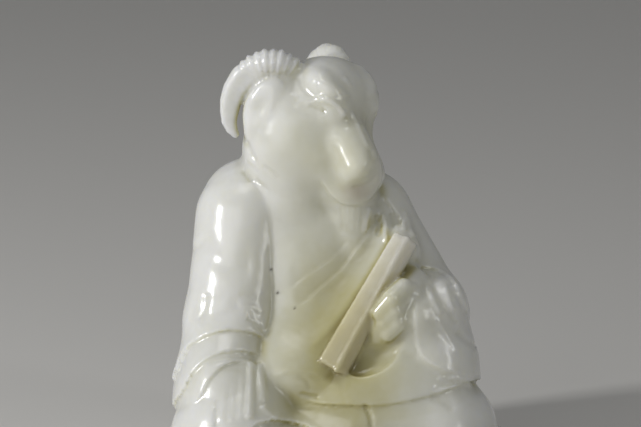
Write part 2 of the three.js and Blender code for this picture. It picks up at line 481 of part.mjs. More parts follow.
function figure(x, y, z) {
  const trunk = blend(3.0, chest(x, y, z), belly(x, y, z), waist(x, y, z));
  const torso = blend(3.0, trunk, shoulders(x, y, z), breast(x, y, z));
  const legs = blend(3.0, thighs(x, y, z), rightKnee(x, y, z), leftKnee(x, y, z));
  const knees = blend(1.5, blend(3.0, legs, seat(x, y, z), skirt(x, y, z)), lapRise(x, y, z));
  const rightArm = blend(2.0, rightUpperArm(x, y, z), rightForearm(x, y, z), rightDrape(x, y, z));
  const leftArm = blend(2.0, leftForearm(x, y, z), leftElbow(x, y, z), leftDrape(x, y, z));
  const upperLeft = leftUpperArm(x, y, z);
  const rough = Math.min(torso, knees, rightArm, leftArm, upperLeft, neck(x, y, z));
  if (rough > 12) return rough - 4;
  if (rough < -3.5) return rough;

  const s = x, v = z * cosTilt + y * sinTilt;
  const step = sleeveStep / unit;
  const apron = meet(0.25, knees - apronStep / unit, -below(apronHem, s, v, y));
  let d = blend(0.2, blend(1.6, torso, knees), apron);
  d = blend(0.25, d,
    meet(0.25, rightArm, -below(outerSleeve, s, v, y)),
    meet(0.25, rightArm + step, -below(innerSleeve, s, v, y)),
    meet(0.25, rightArm + 2 * step, -below(cuff, s, v, y)),
    rightArm + 3 * step);
  d = blend(0.9, d, upperLeft);
  d = blend(1.6, d, meet(0.4, leftArm, -below(sleeveHem, s, v, y)));
  d = blend(0.8, d, neck(x, y, z), nape(x, y, z));
  d = blend(1.6, d, throat(x, y, z));
  d = cut(0.2, d, handHollow(x, y, z));
  d = blend(1.5, d, beard(x, y, z));
  d = blend(1.2, d, rightPalm(x, y, z));
  if (z < 24 && y < -6) {
    d = blend(0.3, d, rightThumb(x, y, z), ...rightFingers.map(finger => finger(x, y, z)));
  }
  d = blend(0.4, d, shoe(x, y, z));
  if (z > 34) d = blend(1.2, d, head(x, y, z));
  if (Math.abs(d) < 1.5) {
    const front = 1 - ramp(y, 0.5, 3.0);
    if (front > 0) d += front * frontLines(s, v);
    else d += ramp(y, 3.0, 5.0) * backLines(x, z);
  }
  d = blend(0.9, d, fist(x, y, z), wrist(x, y, z));
  d = blend(0.35, d, ...grip.map(finger => finger(x, y, z)));
  return blend(0.25, d, tablet(x, y, z));
}

// Walks the grid of cells and lays triangles where the surface passes through them.
function polygonise(field, low, high, size) {
  const count = low.map((n, i) => Math.ceil((high[i] - n) / size) + 1);
  const [nx, ny, nz] = count;
  const values = new Float32Array(nx * ny * nz);
  const at = (i, j, k) => (k * ny + j) * nx + i;
  for (let k = 0; k < nz; k++)
    for (let j = 0; j < ny; j++)
      for (let i = 0; i < nx; i++)
        values[at(i, j, k)] = field(low[0] + i * size, low[1] + j * size, low[2] + k * size);

  const corners = [[0, 0, 0], [1, 0, 0], [1, 1, 0], [0, 1, 0], [0, 0, 1], [1, 0, 1], [1, 1, 1], [0, 1, 1]];
  const edges = [
    [0, 1], [1, 2], [2, 3], [3, 0], [4, 5], [5, 6], [6, 7], [7, 4], [0, 4], [1, 5], [2, 6], [3, 7],
  ];
  const points = [], triangles = [], known = new Map();
  const crossing = (i, j, k, edge) => {
    const [a, b] = edges[edge].map(c => corners[c]);
    const p = [i + a[0], j + a[1], k + a[2]], q = [i + b[0], j + b[1], k + b[2]];
    const ia = at(...p), ib = at(...q);
    const key = ia < ib ? ia * values.length + ib : ib * values.length + ia;
    if (!known.has(key)) {
      const t = clamp(values[ia] / (values[ia] - values[ib]), 0.02, 0.98);
      known.set(key, points.length);
      points.push(p.map((n, axis) => low[axis] + (n + t * (q[axis] - n)) * size));
    }
    return known.get(key);
  };
  for (let k = 0; k + 1 < nz; k++)
    for (let j = 0; j + 1 < ny; j++)
      for (let i = 0; i + 1 < nx; i++) {
        let kind = 0;
        for (let n = 0; n < 8; n++)
          if (values[at(i + corners[n][0], j + corners[n][1], k + corners[n][2])] < 0) kind |= 1 << n;
        if (!edgeTable[kind]) continue;
        for (let n = kind * 16; triTable[n] !== -1; n += 3)
          triangles.push([0, 2, 1].map(m => crossing(i, j, k, triTable[n + m])));
      }
  return { points, triangles };
}

// Thins a closed mesh: the edge whose loss moves the surface least goes first, until few enough are left.
// Each vertex keeps the ten sums of the squared distance to the planes of its faces.
function thin({ points, triangles }, budget) {
  const sums = points.map(() => new Float64Array(10));
  const faces = points.map(() => new Set());
  const stamp = new Int32Array(points.length);
  const facing = ([a, b, c]) => {
    const n = cross(b.map((v, i) => v - a[i]), c.map((v, i) => v - a[i]));
    return { n, area: Math.hypot(...n) };
  };
  triangles.forEach((triangle, index) => {
    const corners = triangle.map(v => points[v]);
    const { n, area } = facing(corners);
    triangle.forEach(v => faces[v].add(index));
    if (area < 1e-12) return;
    const [a, b, c] = n.map(v => v / area);
    const d = -(a * corners[0][0] + b * corners[0][1] + c * corners[0][2]);
    const plane = [a * a, a * b, a * c, a * d, b * b, b * c, b * d, c * c, c * d, d * d];
    triangle.forEach(v => plane.forEach((term, i) => { sums[v][i] += term * area; }));
  });

  const price = (q, [x, y, z]) => q[0] * x * x + 2 * q[1] * x * y + 2 * q[2] * x * z + 2 * q[3] * x
    + q[4] * y * y + 2 * q[5] * y * z + 2 * q[6] * y + q[7] * z * z + 2 * q[8] * z + q[9];
  const bestPlace = (q, a, b) => {
    const middle = a.map((n, i) => (n + b[i]) / 2);
    const m = q[0] * (q[4] * q[7] - q[5] * q[5]) - q[1] * (q[1] * q[7] - q[5] * q[2])
      + q[2] * (q[1] * q[5] - q[4] * q[2]);
    const options = [middle, a, b];
    if (Math.abs(m) > 1e-4 * (q[0] + q[4] + q[7]) ** 3 / 27) {
      const x = -(q[3] * (q[4] * q[7] - q[5] * q[5]) - q[1] * (q[6] * q[7] - q[5] * q[8])
        + q[2] * (q[6] * q[5] - q[4] * q[8])) / m;
      const y = -(q[0] * (q[6] * q[7] - q[8] * q[5]) - q[3] * (q[1] * q[7] - q[5] * q[2])
        + q[2] * (q[1] * q[8] - q[6] * q[2])) / m;
      const z = -(q[0] * (q[4] * q[8] - q[5] * q[6]) - q[1] * (q[1] * q[8] - q[6] * q[2])
        + q[3] * (q[1] * q[5] - q[4] * q[2])) / m;
      if (Math.hypot(x - middle[0], y - middle[1], z - middle[2]) < 2 * unit) options.unshift([x, y, z]);
    }
    return options.reduce((best, place) => {
      const cost = price(q, place);
      return cost < best.cost - 1e-12 ? { place, cost } : best;
    }, { place: middle, cost: Infinity });
  };

  // A heap of edges, the cheapest on top.
  const heap = [];
  const push = item => {
    let i = heap.push(item) - 1;
    while (i > 0 && heap[(i - 1) >> 1].cost > item.cost) {
      heap[i] = heap[(i - 1) >> 1];
      i = (i - 1) >> 1;
    }
    heap[i] = item;
  };
  const pop = () => {
    const top = heap[0], item = heap.pop();
    if (!heap.length) return top;
    let i = 0;
    for (;;) {
      let child = 2 * i + 1;
      if (child >= heap.length) break;
      if (child + 1 < heap.length && heap[child + 1].cost < heap[child].cost) child++;
      if (heap[child].cost >= item.cost) break;
      heap[i] = heap[child];
      i = child;
    }
    heap[i] = item;
    return top;
  };
  const offer = (a, b) => {
    const q = sums[a].map((n, i) => n + sums[b][i]);
    const { place, cost } = bestPlace(q, points[a], points[b]);
    const spread = points[a].reduce((sum, n, i) => sum + (n - points[b][i]) ** 2, 0);
    push({ a, b, place, cost: cost + 1e-6 * spread, ages: stamp[a] + stamp[b] });
  };
  triangles.forEach(t => t.forEach((a, i) => { if (a < t[(i + 1) % 3]) offer(a, t[(i + 1) % 3]); }));

  const around = v => new Set([...faces[v]].flatMap(f => triangles[f]).filter(u => u !== v));
  let left = triangles.length;
  while (left > budget && heap.length) {
    const { a, b, place, ages } = pop();
    if (!faces[a] || !faces[b] || ages !== stamp[a] + stamp[b]) continue;
    const nearA = around(a), nearB = around(b);
    if (!nearA.has(b) || [...nearA].filter(v => nearB.has(v)).length !== 2) continue;
    const spins = (v, other) => [...faces[v]].some(f => {
      if (triangles[f].includes(other)) return false;
      const before = facing(triangles[f].map(u => points[u]));
      const after = facing(triangles[f].map(u => (u === v ? place : points[u])));
      const dot = before.n.reduce((sum, n, i) => sum + n * after.n[i], 0);
      return dot < 0.3 * before.area * after.area || after.area < 1e-5;
    });
    if (spins(a, b) || spins(b, a)) continue;
    points[a] = place;
    for (const f of faces[b]) {
      if (triangles[f].includes(a)) {
        triangles[f].forEach(v => { if (v !== b) faces[v].delete(f); });
        triangles[f] = null;
        left--;
      } else {
        triangles[f] = triangles[f].map(v => (v === b ? a : v));
        faces[a].add(f);
      }
    }
    faces[b] = null;
    sums[a].forEach((n, i) => { sums[a][i] = n + sums[b][i]; });
    stamp[a] += stamp[b] + 1;
    around(a).forEach(v => offer(a, v));
  }
  const kept = triangles.filter(Boolean);
  const places = new Map([...new Set(kept.flat())].map((v, i) => [v, i]));
  return {
    points: [...places.keys()].map(v => points[v]),
    triangles: kept.map(t => t.map(v => places.get(v))),
  };
}

const solidOf = ({ points, triangles }) => new wasm.Manifold(new wasm.Mesh({
  numProp: 3,
  vertProperties: new Float32Array(points.flat()),
  triVerts: new Uint32Array(triangles.flat()),
}));

function boxSolid(width, depth, tall, centre) {
  const shape = new THREE.BoxGeometry(width, depth, tall);
  shape.translate(...centre);
  shape.deleteAttribute('normal');
  shape.deleteAttribute('uv');
  const merged = mergeVertices(shape);
  return new wasm.Manifold(new wasm.Mesh({
    numProp: 3,
    vertProperties: new Float32Array(merged.attributes.position.array),
    triVerts: new Uint32Array(merged.index.array),
  }));
}

// The carving runs on below the ground and is then sawn flat there, so that it stands on its underside.
const reach = { low: [-23, -19, -2.5], high: [23, 19, 61] };
const spare = 1.6;
const carved = polygonise(
  (x, y, z) => Math.max(figure(x / unit, y / unit, z / unit), -z / unit - spare) * unit,
  reach.low.map(n => n * unit), reach.high.map(n => n * unit), cell);
const saw = boxSolid(60 * unit, 60 * unit, 10 * unit, [0, 0, -5 * unit]);
const solid = solidOf(thin(carved, triangleBudget)).subtract(saw);
const { vertProperties, triVerts } = solid.getMesh();

const geometry = new THREE.BufferGeometry();
geometry.setAttribute('position', new THREE.BufferAttribute(vertProperties, 3));
geometry.setIndex(new THREE.BufferAttribute(triVerts, 1));
const jade = new THREE.MeshStandardMaterial({ color: 0xd2d3c8, roughness: 0.25, metalness: 0 });
const ram = new THREE.Mesh(geometry, jade);
ram.name = 'ram_figure';
const group = new THREE.Group();
group.add(ram);
export default group;
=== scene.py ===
"""A seated zodiac figure with a ram's head, carved from one piece of white jade.

The solid of the frame is cut up finely and its skin is moved onto the carving, which is worked out
from the same forms as the solid and has the finer folds and strands that a carver cuts last.
Forms are in millimetres, for a figure 58.8 mm tall that faces -Y and stands on z = 0.
"""
import math

import bmesh
import bpy
import numpy as np
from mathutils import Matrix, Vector


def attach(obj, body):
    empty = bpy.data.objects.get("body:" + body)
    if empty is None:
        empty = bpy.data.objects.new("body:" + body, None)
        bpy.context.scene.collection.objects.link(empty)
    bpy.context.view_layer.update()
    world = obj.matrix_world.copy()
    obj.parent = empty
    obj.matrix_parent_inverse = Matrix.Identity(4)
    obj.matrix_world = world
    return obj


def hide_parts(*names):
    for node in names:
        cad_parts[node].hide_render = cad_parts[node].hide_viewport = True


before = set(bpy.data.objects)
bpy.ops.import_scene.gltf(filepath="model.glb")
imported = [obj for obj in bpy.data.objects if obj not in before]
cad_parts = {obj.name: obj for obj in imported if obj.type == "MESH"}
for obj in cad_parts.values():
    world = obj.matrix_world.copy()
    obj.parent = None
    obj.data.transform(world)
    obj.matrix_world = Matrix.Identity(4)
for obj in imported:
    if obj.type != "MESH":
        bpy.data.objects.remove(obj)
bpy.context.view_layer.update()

MM = 0.001

TABLET_LENGTH = 18.8
TABLET_FOOT_WIDTH = 3.9
TABLET_HEAD_WIDTH = 3.0
TABLET_THICKNESS = 2.2
TABLET_BEVEL = 1.0
TABLET_BEAD = 0.24
SLEEVE_STEP = 0.4
APRON_STEP = 0.35
HORN_RIDGE_TURN = 9.3
HORN_RIDGE_HEIGHT = 0.15
FINGER_RADIUS = 0.58
SKIN_PITCH = 0.265
# A distance that stands for "nowhere near" where a drawn line is out of reach.
FAR = 30.0

# Folds are laid out in a front drawing, as they look from slightly above: across and up.
TILT = math.radians(10)


def seen(across, up, depth):
    """A point of the drawing at a depth behind the figure's middle, as x, y, z."""
    return [across, depth, (up - depth * math.sin(TILT)) / math.cos(TILT)]


def ramp(value, low, high):
    """Rises smoothly from 0 at the low value to 1 at the high one."""
    t = np.clip((value - low) / (high - low), 0, 1)
    return t * t * (3 - 2 * t)


def normal(v):
    """A direction of length one."""
    return np.array(v, float) / np.linalg.norm(v)


# Forms. Each is a function of points that gives how far they are from its surface, negative inside.
def ellipsoid(centre, radii, axes=((1, 0, 0), (0, 1, 0), (0, 0, 1))):
    centre, radii, axes = np.array(centre), np.array(radii), np.array(axes)

    def distance(p):
        q = (p - centre) @ axes.T / radii
        k0 = np.linalg.norm(q, axis=1)
        k1 = np.linalg.norm(q / radii, axis=1)
        return k0 * (k0 - 1) / np.maximum(k1, 1e-9)
    return distance


def nearest_on(p, a, b):
    """How far along a to b the nearest place to each point lies, and how far off it is."""
    u = np.subtract(b, a)
    t = np.clip((p - a) @ u / (u @ u), 0, 1)
    return t, np.linalg.norm(p - a - t[:, None] * u, axis=1)


def limb(points):
    """A ball-ended bar that tapers from point to point; points are x, y, z, radius."""
    def distance(p):
        best = np.full(len(p), np.inf)
        for a, b in zip(points, points[1:]):
            t, off = nearest_on(p, a[:3], b[:3])
            best = np.minimum(best, off - a[3] - t * (b[3] - a[3]))
        return best
    return distance


def blend(fillet, *distances):
    """Joins forms with a fillet of about the given radius."""
    joined = distances[0]
    for other in distances[1:]:
        h = np.maximum(fillet - np.abs(joined - other), 0) / fillet
        joined = np.minimum(joined, other) - h * h * fillet / 4
    return joined


def meet(edge, *distances):
    """Keeps only what is inside all the forms, with softened edges."""
    return -blend(edge, *[-d for d in distances])


def cut(edge, body, cutter):
    """Takes the cutter out of the body, with softened edges."""
    return meet(edge, body, -cutter)


def smooth_line(corners):
    """A smooth curve through points of the drawing, as a run of short steps."""
    p = np.array(corners, float)
    p = np.vstack([2 * p[0] - p[1], p, 2 * p[-1] - p[-2]])
    gap = np.sqrt(np.linalg.norm(np.diff(p, axis=0), axis=1))
    dots = []
    for i in range(1, len(p) - 2):
        a, b, c, d = p[i - 1:i + 3]
        g, h, k = gap[i - 1:i + 2]
        leave = ((b - a) / g - (c - a) / (g + h) + (c - b) / h) * h
        arrive = ((c - b) / h - (d - b) / (h + k) + (d - c) / k) * h
        for t in (0, 1 / 3, 2 / 3):
            dots.append(b + t * leave + t * t * (3 * (c - b) - 2 * leave - arrive)
                        + t ** 3 * (2 * (b - c) + leave + arrive))
    return np.array(dots + [p[-2]])


def drawn(*corners):
    """A smooth line of the drawing. At each place it gives how far off the line is, positive above it
    or to its left when drawn rightwards, and how far along it the nearest point lies."""
    dots = smooth_line(corners)
    low, high = dots.min(axis=0) - 3, dots.max(axis=0) + 3

    def nearest(q):
        off, share = np.full(len(q), FAR), np.zeros(len(q))
        close = np.flatnonzero(np.all((q > low) & (q < high), axis=1))
        if len(close) == 0:
            return off, share
        r = q[close]
        best, side, along = np.full(len(r), np.inf), np.ones(len(r)), np.zeros(len(r))
        for i, (a, b) in enumerate(zip(dots, dots[1:])):
            t, gap = nearest_on(r, a, b)
            u, w = b - a, r - a
            nearer = gap < best
            best[nearer] = gap[nearer]
            side[nearer] = np.sign(u[0] * w[nearer, 1] - u[1] * w[nearer, 0])
            along[nearer] = (i + t[nearer]) / (len(dots) - 1)
        off[close], share[close] = side * best, along
        return off, share
    return nearest


# Carved lines. Each takes places in the drawing and gives the depth to carve there.
def tapered(share):
    """A stroke fades in and out at its two ends."""
    return ramp(share, 0, 0.12) * ramp(1 - share, 0, 0.12)


def groove(depth, width, *corners):
    """A rounded channel along the line."""
    line = drawn(*corners)

    def carve(q):
        off, share = line(q)
        return depth * tapered(share) * np.exp(-(off / width) ** 2)
    return carve


def ridge(rise, width, *corners):
    """A rounded rib along the line."""
    return groove(-rise, width, *corners)


def overlap(depth, width, *corners):
    """The edge of a layer that lies over what is below the line."""
    line = drawn(*corners)
    edge_shift, lip_height, lip_width = 0.12, 0.35, 0.5

    def carve(q):
        off, share = line(q)
        off = off + edge_shift
        under = np.exp(np.minimum(off, 0) / width) * ramp(-off, 0, 0.25) * (1 - ramp(-off, 1.6, 2.8))
        lip = -lip_height * np.exp(-(off / lip_width) ** 2)
        return depth * tapered(share) * np.where(off < 0, under, lip)
    return carve


def carving(lines):
    """Adds up the depths of many lines."""
    return lambda q: sum(line(q) for line in lines)


# The head, in its own directions: to the muzzle, to its side and up from the brow.
# Both sides are alike, so a place on the left is reflected to the right one.
HEAD_TURN, HEAD_BOW = math.radians(50), math.radians(55)
FORE = np.array([math.sin(HEAD_TURN) * math.cos(HEAD_BOW),
                 -math.cos(HEAD_TURN) * math.cos(HEAD_BOW), -math.sin(HEAD_BOW)])
SIDE = np.array([-math.cos(HEAD_TURN), -math.sin(HEAD_TURN), 0])
BROW = np.cross(SIDE, FORE)
SKULL = np.array([-1.75, 2.5, 51.2])

cranium = ellipsoid([0, 0, 0], [6.1, 7.4, 6.4])
muzzle = limb([[2.5, 0, 0.2, 5.1], [6.3, 0, -0.1, 4.3], [9.3, 0, -0.15, 4.0]])
jaw = limb([[0.5, 0, -2.5, 5.4], [5.5, 0, -2.9, 4.4], [8.6, 0, -1.9, 3.3]])
eyeball = ellipsoid([1.6, 4.6, 2.4], [2.6, 0.5, 1.1],
                    [normal([0.78, -0.35, 0.5]), normal([0.2, 0.93, 0.33]), normal([-0.58, -0.15, 0.8])])
brow_bone = limb([[-1.4, 3.7, 4.4, 0.9], [0.8, 3.6, 4.8, 1.0], [2.8, 2.9, 4.4, 0.9]])
# The near cheek runs down smoothly into the throat.
cheek = ellipsoid([-3.9, 0.9, 48.2], [6.2, 5.0, 5.8])
jowl = limb([[-1.6, -0.8, 45.2, 3.7], [0.4, -1.1, 42.3, 3.2]])
# The flat of the muzzle on the near side ends at the crisp line down the nose.
near_face = limb([[0.6, -1.9, 49.2, 2.2], [1.5, -2.8, 47.4, 2.7], [3.0, -4.2, 44.4, 2.9]])
throat = ellipsoid([-4.5, 1.2, 46.6], [7.0, 5.5, 8.0])

# The horn leaves the crown, arches back over the ear and comes down beside it.
horn_path = [[*seen(across, up, depth), radius] for across, up, depth, radius in (
    (-4.4, 55.0, 0.2, 0.9), (-5.75, 55.7, -0.3, 1.35), (-7.25, 56.05, -0.6, 1.65),
    (-8.75, 56.0, -0.6, 1.75), (-10.25, 55.3, -0.4, 1.75), (-11.65, 54.2, -0.2, 1.65),
    (-12.65, 52.8, 0, 1.5), (-13.15, 51.4, 0.2, 1.38), (-13.35, 50.1, 0.3, 1.2),
    (-13.4, 48.9, 0.3, 0.98), (-13.1, 47.9, 0.2, 0.75), (-12.65, 47.2, 0.1, 0.5))]
# The middle of the curl, that the ridges fan out from: x and z.
HORN_EYE = (-8.2, 51.8)
# The left horn grows on the far side of the crown, turned away and a little lower.
FAR_HORN_ROOT = (1.25, 6.4)
FAR_HORN_SIDEWAYS, FAR_HORN_BACK, FAR_HORN_DROP = 0.53, 0.85, 0.7
FAR_HORN_RIDGES = 0.25
far_horn_path = [[FAR_HORN_ROOT[0] - FAR_HORN_SIDEWAYS * (horn_path[0][0] - x),
                  FAR_HORN_ROOT[1] + FAR_HORN_BACK * (horn_path[0][0] - x), z - FAR_HORN_DROP, radius]
                 for x, y, z, radius in horn_path]


def horn(path, ridge_height, eye, squeeze):
    """Ridges fan out from the middle of the curl and fade out along it."""
    plain = limb(path)

    def distance(p):
        turn = np.degrees(np.arctan2(p[:, 2] - eye[1], (eye[0] - p[:, 0]) / squeeze))
        ridges = ridge_height * np.cos(2 * np.pi * turn / HORN_RIDGE_TURN)
        return plain(p) - ridges * ramp(turn, 42, 60) * (1 - ramp(turn, 118, 132))
    return distance


near_horn = horn(horn_path, HORN_RIDGE_HEIGHT, HORN_EYE, 1)
far_horn_eye = (FAR_HORN_ROOT[0] - FAR_HORN_SIDEWAYS * (horn_path[0][0] - HORN_EYE[0]),
                HORN_EYE[1] - FAR_HORN_DROP)
far_horn = horn(far_horn_path, FAR_HORN_RIDGES * HORN_RIDGE_HEIGHT, far_horn_eye, FAR_HORN_SIDEWAYS)
# The outer face is flattened, which leaves a rim round the horn.
horn_flute = limb([[x + 0.2, y - 2.7 * r, z - 0.2, r * 2.0] for x, y, z, r in horn_path[5:10]])

EAR_FACE = normal([-0.28, -0.95, 0.1])
EAR_DOWN = normal([-0.43, 0.12, -0.9])
EAR_ACROSS = normal(np.cross(EAR_FACE, EAR_DOWN))
EAR = [EAR_DOWN, EAR_ACROSS, np.cross(EAR_DOWN, EAR_ACROSS)]
EAR_MIDDLE = np.array(seen(-9.05, 50.9, -1.3))
ear_leaf = ellipsoid(EAR_MIDDLE, [3.9, 2.35, 1.25], EAR)
ear_tip = limb([[*EAR_MIDDLE, 1.3], [*seen(-10.75, 47.5, -0.5), 0.5]])
ear_hollow = ellipsoid(EAR_MIDDLE + 1.98 * EAR_FACE + 0.3 * EAR_DOWN, [2.9, 1.35, 0.95], EAR)
ear_root = limb([[*seen(-6.0, 54.9, 0.3), 1.3], [*seen(-6.9, 53.6, -0.2), 1.8],
                 [*seen(-6.6, 51.6, -0.6), 2.0], [*seen(-7.1, 49.2, -0.4), 1.8]])
# The tip of the far ear shows past the far eye.
far_ear = ellipsoid(seen(4.2, 51.2, 5.0), [1.05, 1.6, 1.2])
far_brow = ellipsoid(seen(3.8, 52.2, 1.5), [1.0, 1.2, 1.0])

# The crisp line down the nose, from the near brow to the chin.
nose_line = drawn([0.5, 53.0], [1.5, 51.5], [2.3, 50.0], [3.0, 48.6], [3.7, 47.2], [4.2, 46.0],
                  [4.6, 44.6], [4.7, 43.2], [4.2, 41.9], [2.9, 40.9], [0.5, 40.2])

head_lines = carving([
    # The upper lid, the slit and the lower lid of the eye.
    ridge(0.16, 0.3, [-5.3, 50.4], [-4.6, 50.95], [-3.8, 51.15], [-2.7, 51.3], [-1.7, 51.45],
        [-0.8, 51.25], [0.1, 50.75], [0.75, 50.1], [1.1, 49.5]),
    groove(0.3, 0.17, [-3.4, 50.8], [-2.6, 50.55], [-1.9, 50.3], [-1.2, 49.8]),
    ridge(0.3, 0.35, [-2.2, 51.6], [-1.4, 51.35], [-0.5, 50.95], [0.3, 50.4], [0.9, 49.7], [1.2, 49.0]),
    groove(0.04, 0.25, [-4.6, 50.6], [-3.4, 50.7], [-1.8, 50.8], [-0.4, 50.5], [0.5, 49.7]),
    ridge(0.05, 0.2, [-4.8, 49.9], [-4.2, 49.4], [-3.1, 49.1], [-1.9, 49.2], [-0.8, 49.6]),
    ridge(0.08, 0.3, [-5.6, 52.2], [-5.2, 51.6], [-4.6, 50.9]),
    # The brow, the crown's wrinkles and the line down the muzzle to the nostril.
    ridge(0.2, 0.6, [-2.6, 53.8], [-1.4, 53.4], [-0.4, 53.0], [0.6, 52.3], [1.6, 51.5]),
    ridge(0.1, 0.25, [1.0, 54.3], [1.5, 53.8], [1.9, 53.1]),
    ridge(0.08, 0.22, [1.9, 54.2], [2.2, 53.6], [2.5, 53.0]),
    ridge(0.2, 0.24, [1.9, 50.0], [2.5, 48.8], [3.2, 47.3], [3.7, 46.2], [4.1, 45.4]),
    groove(0.15, 0.22, [4.1, 45.3], [4.3, 44.6], [4.4, 43.8]),
    ridge(0.12, 0.25, [4.6, 45.3], [4.9, 44.7], [5.1, 44.0]),
    groove(0.15, 0.25, [5.2, 42.0], [4.2, 41.1], [3.1, 40.6], [1.9, 40.5]),
])


def head(p):
    d = p - SKULL
    fore, side, brow = d @ FORE, d @ SIDE, d @ BROW
    out = np.abs(side)
    local = np.stack([fore, out, brow], axis=1)
    near = p - 2 * np.minimum(side, 0)[:, None] * SIDE
    nose = meet(1.1, muzzle(local), out - 3.35 + 0.5 * ramp(fore, 3, 9), brow - 3.15)
    d = blend(2.2, meet(1.5, cranium(local), out - 4.8), nose)
    d = blend(1.6, d, jaw(local))
    nose_side = 0.9 * nose_line(drawing(p))[0] - 0.44 * (p[:, 1] + 5.6)
    d = blend(2.0, d, cheek(p), jowl(p))
    d = blend(1.3, d, meet(0.8, near_face(p), nose_side))
    d = blend(1.6, d, brow_bone(local))
    d = blend(0.9, d, eyeball(local))
    d = d + head_lines(drawing(near)) * ramp(out, 0.3, 1.2) * np.where(side < 0, 0.35, 1)
    near_part = cut(0.4, near_horn(p), horn_flute(p))
    ear_part = cut(0.7, blend(1.2, ear_leaf(near), ear_tip(near)), ear_hollow(near))
    d = blend(1.2, d, ear_root(near))
    return blend(0.5, d, near_part, far_horn(p), ear_part, far_ear(p), far_brow(p))


# The neck, the nape and the beard.
neck = limb([[-5, 3.5, 40, 7], [-3.2, 2.8, 48.5, 5.9]])
nape = limb([[-7.0, 4.8, 41, 5.0], [-6.8, 4.2, 45.2, 5.0]])
beard = limb([[*seen(1.9, 40.0, -1.3), 2.9], [*seen(2.1, 37.2, -1.2), 2.5],
              [*seen(2.2, 34.8, -1.6), 1.9], [*seen(2.3, 33.4, -2.1), 1.3]])

# The body and the arms in their sleeves.
chest = ellipsoid([-3.5, 5.0, 27], [12.5, 9.9, 17.5])
belly = ellipsoid([-3.0, 1.6, 18.5], [13, 10.4, 10])
waist = ellipsoid([-5.5, -3.6, 18.4], [7.5, 6.6, 4.4])
shoulders = limb([[-10.8, 4, 37.9, 6.3], [3.5, 4.5, 36.6, 6.0]])
right_upper_arm = limb([[-11.35, 2.7, 36.8, 6.4], [-12.85, -1.2, 24, 6.1]])
right_forearm = limb([[-13.2, -1.5, 24, 5.6], [-13.6, -7, 17.5, 5.3]])
right_drape = ellipsoid([-14.2, -3.6, 14.4], [6.8, 10.6, 9.8])
left_upper_arm = limb([[3.8, 4.5, 36.2, 6.0], [10.8, 1.8, 24.5, 5.9]])
left_forearm = limb([[11.0, 0.3, 24.8, 5.3], [9.6, -5.5, 25.6, 3.7]])
left_elbow = ellipsoid(seen(13.0, 25.6, -2.6), [3.4, 4.6, 4.2])
left_drape = ellipsoid([11.5, -2.6, 17.8], [6.7, 7.1, 9.4])
# The cloth that the tablet rests against.
breast = limb([[*seen(1.5, 21.0, -5.2), 3.0], [*seen(7.4, 32.5, -1.4), 3.2]])

# The crossed legs under the robe, the seat and the shoe that shows below the hem.
right_knee = ellipsoid([-12.5, -7.2, 10.0], [8.0, 8.8, 8.5])
left_knee = ellipsoid([12.6, -3.5, 9.7], [8.0, 8.9, 8.6])
thighs = ellipsoid([0, -5, 8.6], [14, 9.5, 7.6])
LAP_SLOPE = [[1, 0, 0], normal([0, -0.35, -0.94]), normal([0, -0.94, 0.35])]
lap_rise = ellipsoid([5.5, -6.5, 17.0], [11, 10, 4], LAP_SLOPE)
seat = ellipsoid([-1, 4.5, 8], [16.5, 11, 14])
skirt = ellipsoid([0, 0.3, 1.5], [20.0, 15.8, 9])
shoe = ellipsoid([-5.5, -12.2, 6.2], [6.0, 3.4, 4.0])

# The tablet, held upright across the chest, a little wider at its foot and bevelled along its outer
# edge, with a raised line where the bevel begins.
TABLET_FOOT = np.array(seen(-0.45, 17.85, -9.4))
TABLET_AIM = normal(seen(8.8, 34.2, -5.2) - TABLET_FOOT)
TABLET_SIDE = normal(np.cross(TABLET_AIM, [-0.35, -0.93, 0]))
TABLET_FRONT = np.cross(TABLET_AIM, TABLET_SIDE)
TABLET_MIDDLE = TABLET_FOOT + TABLET_LENGTH / 2 * TABLET_AIM


def tablet(p):
    d = p - TABLET_MIDDLE
    along = d @ TABLET_AIM
    share = np.clip(along / TABLET_LENGTH + 0.5, 0, 1)
    width = TABLET_FOOT_WIDTH + share * (TABLET_HEAD_WIDTH - TABLET_FOOT_WIDTH)
    side, front = d @ TABLET_SIDE, d @ TABLET_FRONT
    bevel = 0.6 * (side - width / 2 + TABLET_BEVEL) - 0.8 * (front + TABLET_THICKNESS / 2)
    bead = TABLET_BEAD * np.exp(-((side - width / 2 + TABLET_BEVEL + 0.2) / 0.35) ** 2) * (front < 0)
    return meet(0.3, np.abs(along) - TABLET_LENGTH / 2, np.abs(side) - width / 2,
                np.abs(front) - TABLET_THICKNESS / 2, bevel) - bead


# The left hand grips the tablet from its outer side, with three fingers closed round it.
fist = ellipsoid(seen(6.1, 23.6, -7.0), [3.6, 2.5, 2.2],
                 [normal([0.5, 0, 0.86]), normal([0.86, 0, -0.5]), [0, 1, 0]])
wrist = limb([[*seen(8.6, 27.4, -6.0), 2.0], [*seen(9.3, 28.2, -4.0), 2.4]])
grip = [limb([
    [*seen(8.3 + 0.4 * n, 28.0 - 1.55 * n, -7.2), 1.25],
    [*seen(6.9 + 0.35 * n, 26.6 - 1.5 * n, -8.6), 1.25],
    [*seen(5.4 + 0.5 * n, 24.9 - 1.3 * n, -8.5), 1.1],
]) for n in range(3)]

